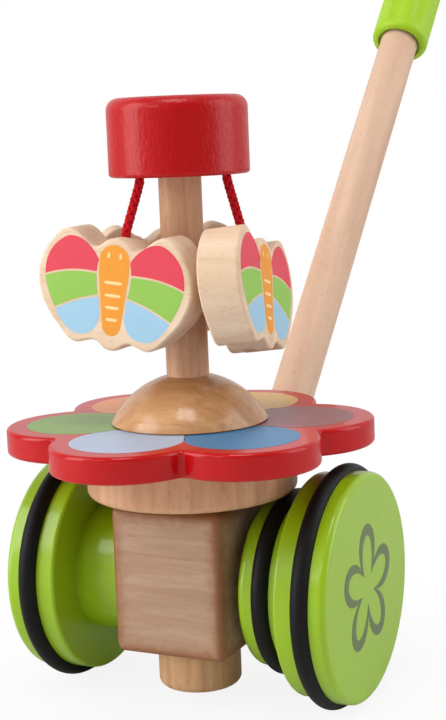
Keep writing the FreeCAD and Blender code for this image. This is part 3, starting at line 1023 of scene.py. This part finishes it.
inks = [
    ink("ink_red", (222, 62, 80), (206, 50, 68)), ink("ink_green", (144, 192, 78), (132, 180, 68)),
    ink("ink_blue", (158, 198, 220), (144, 186, 212)), ink("ink_orange", (232, 152, 38), (224, 140, 28)),
    ink("ink_pale", (246, 212, 150), (242, 202, 136))]
printed = print_mesh()
for number in numbers:
    mesh = printed.copy()
    mesh.transform(butterfly_frames[number])
    for material in inks:
        mesh.materials.append(material)
    wings = placed("butterfly_print_" + number, mesh)
    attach(wings, "hanging_butterfly_" + number)
print("butterfly print", len(printed.polygons), "faces")

# %% [markdown]
# ## Floor, world and lamps
#
# A plain white floor catches the soft shadow and fades to plain white further out, so that no
# horizon shows.  The world is a white card to the camera and, behind the object, to its glossy
# surfaces, and it lights the object only gently.  Two tall soft boxes stand to the sides, which
# draws one long highlight down each side of every turned piece.  A smaller one overhead fills
# the tops, and another at the front left fills the faces of the block and the butterflies.

# %% Lay the floor


def card_mask(tree):
    """Light Path node, and a mask of the rays that see the white card."""
    rays = add(tree, "ShaderNodeLightPath").outputs
    return rays, math_node(tree, "MAXIMUM", rays["Is Camera Ray"], rays["Is Transmission Ray"])


def end_in_mix(tree, mask, first, second, output_kind):
    """Mix two shaders by a mask and send them to the tree's output."""
    mixed = add(tree, "ShaderNodeMixShader")
    for slot, source in zip(mixed.inputs, (mask, first.outputs[0], second.outputs[0])):
        join(tree, source, slot)
    join(tree, mixed.outputs[0], add(tree, output_kind).inputs["Surface"])


floor_reach = 6.0
shadow_near, shadow_far = 50 * millimetre, 240 * millimetre
floor_corners = [(x * floor_reach, y * floor_reach, 0) for x, y in ((-1, -1), (1, -1), (1, 1), (-1, 1))]
floor_mesh = bpy.data.meshes.new("floor")
floor_mesh.from_pydata(floor_corners, [], [(0, 1, 2, 3)])
floor = placed("floor", floor_mesh)
floor_finish = bpy.data.materials.new("floor_white")
floor_finish.use_nodes = True
paper = floor_finish.node_tree
paper.nodes.clear()
matt = add(paper, "ShaderNodeBsdfDiffuse", Color=(0.8, 0.8, 0.8, 1))
white = add(paper, "ShaderNodeEmission", Color=(1, 1, 1, 1))
_, seen = card_mask(paper)
distance = vector_node(paper, "LENGTH", add(paper, "ShaderNodeTexCoord").outputs["Object"])
fade = ranged(paper, distance, shadow_near, shadow_far, 0.88, 1.0, soft=True)
end_in_mix(paper, math_node(paper, "MULTIPLY", seen, fade), matt, white, "ShaderNodeOutputMaterial")
floor_mesh.materials.append(floor_finish)
print("floor", 2 * floor_reach, "m across")

# %% Light the world
world = bpy.data.worlds.new("studio")
bpy.context.scene.world = world
world.use_nodes = True
sky = world.node_tree
sky.nodes.clear()
rays, seen = card_mask(sky)
heading = add(sky, "ShaderNodeSeparateXYZ")
join(sky, add(sky, "ShaderNodeTexCoord").outputs["Generated"], heading.inputs[0])
behind = ranged(sky, heading.outputs["Y"], -0.2, 0.5, 0.15, 1.0, soft=True)
mirrored = math_node(sky, "MULTIPLY", rays["Is Glossy Ray"], behind)
ambient = add(sky, "ShaderNodeBackground", Color=(1, 1, 1, 1), Strength=0.3)
card = add(sky, "ShaderNodeBackground", Color=(1, 1, 1, 1), Strength=1.0)
end_in_mix(sky, math_node(sky, "MAXIMUM", seen, mirrored), ambient, card, "ShaderNodeOutputWorld")
print("world light", round(ambient.inputs["Strength"].default_value, 2))

# %% Place the lamps


def soft_box(name, azimuth, elevation, distance, size, power):
    """Area lamp on a sphere about the object, aimed at its middle."""
    lamp = bpy.data.lights.new(name, "AREA")
    lamp.shape = "RECTANGLE"
    lamp.size, lamp.size_y = size
    lamp.energy = power
    turn, lift = math.radians(azimuth), math.radians(elevation)
    toward = Vector((math.sin(turn) * math.cos(lift), -math.cos(turn) * math.cos(lift), math.sin(lift)))
    placed(name, lamp).matrix_world = (Matrix.Translation(aim_point + toward * distance)
                                       @ toward.to_track_quat("Z", "Y").to_matrix().to_4x4())
    print(name, power, "W from", round(azimuth), "degrees")


# Azimuth, elevation, distance and size in degrees and metres, and power in watts.
view_azimuth = math.degrees(camera_azimuth)
soft_box("left_box", view_azimuth - 78, 20, 1.5, (0.8, 1.6), 21)
soft_box("right_box", view_azimuth + 84, 20, 1.5, (0.9, 1.6), 13)
soft_box("top_box", view_azimuth - 10, 72, 1.6, (0.6, 0.6), 10)
soft_box("front_box", view_azimuth - 40, 24, 2.2, (0.6, 0.6), 6)

# %% [markdown]
# ## Colour view
#
# The Standard view transform shows each colour about as it was written.

# %% Set the view transform
bpy.context.scene.view_settings.view_transform = "Standard"
